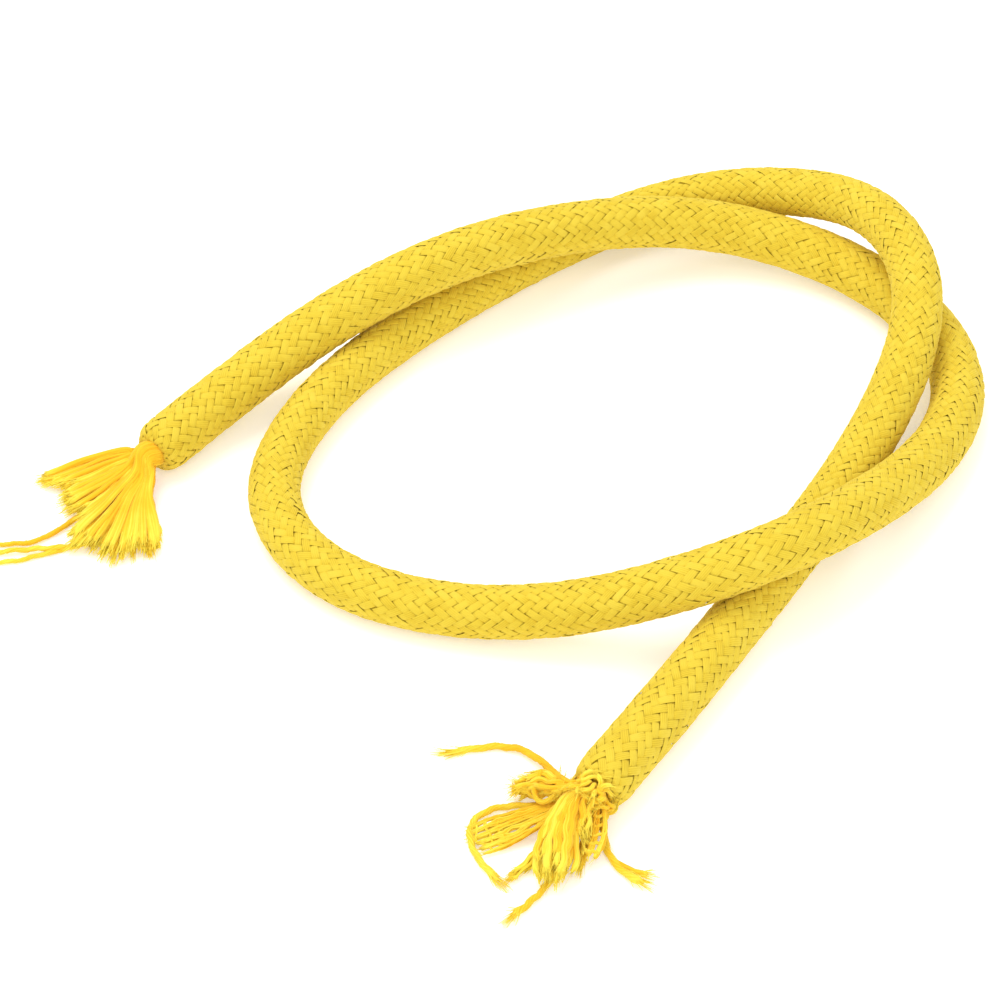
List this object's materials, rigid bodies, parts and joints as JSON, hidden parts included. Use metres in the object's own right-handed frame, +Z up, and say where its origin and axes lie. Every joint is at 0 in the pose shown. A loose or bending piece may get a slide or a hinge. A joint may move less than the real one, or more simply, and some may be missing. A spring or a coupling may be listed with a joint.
{
  "type": "braided rope with tied ends",
  "caption": "Soft braided cotton rope laid in a loose loop, both ends drawn shut, tied and frayed into tassels.",
  "frame": {"origin": "centre of the bounding box at the plane that the rope lies on", "axes": "+Z up from the surface that the rope lies on, +X from the left tied end towards the closed side of the loop, +Y towards the rear of the loop"},
  "size_m": [0.242, 0.2457, 0.0283],
  "materials": {
    "braid": "matte plaited cotton yarn",
    "filler": "matte loosely laid cotton filler",
    "thread": "matte tying thread",
    "frayed_yarn": "matte fluffed cotton yarn"
  },
  "bodies": {
    "root": {"braided_sheath": "braid", "core_centre": "filler", "core_strand_1": "filler", "core_strand_2": "filler", "core_strand_3": "filler", "core_strand_4": "filler", "core_strand_5": "filler", "core_strand_6": "filler", "left_tie": "thread", "right_tie": "thread", "left_tuft_rear": "frayed_yarn", "left_tuft_side": "frayed_yarn", "left_tuft_corner": "frayed_yarn", "left_tuft_front": "frayed_yarn", "left_tuft_right": "frayed_yarn", "left_long_yarn": "frayed_yarn", "left_low_yarn": "frayed_yarn", "right_long_yarn": "frayed_yarn", "right_curled_yarn": "frayed_yarn", "right_side_yarn": "frayed_yarn", "right_low_yarn": "frayed_yarn", "right_tuft_low": "frayed_yarn", "right_ruff": "frayed_yarn", "right_tuft_upper": "frayed_yarn", "right_tuft_centre": "frayed_yarn", "right_tuft_mid": "frayed_yarn", "right_net": "frayed_yarn", "right_braid_flap": "frayed_yarn"}
  },
  "joints": []
}
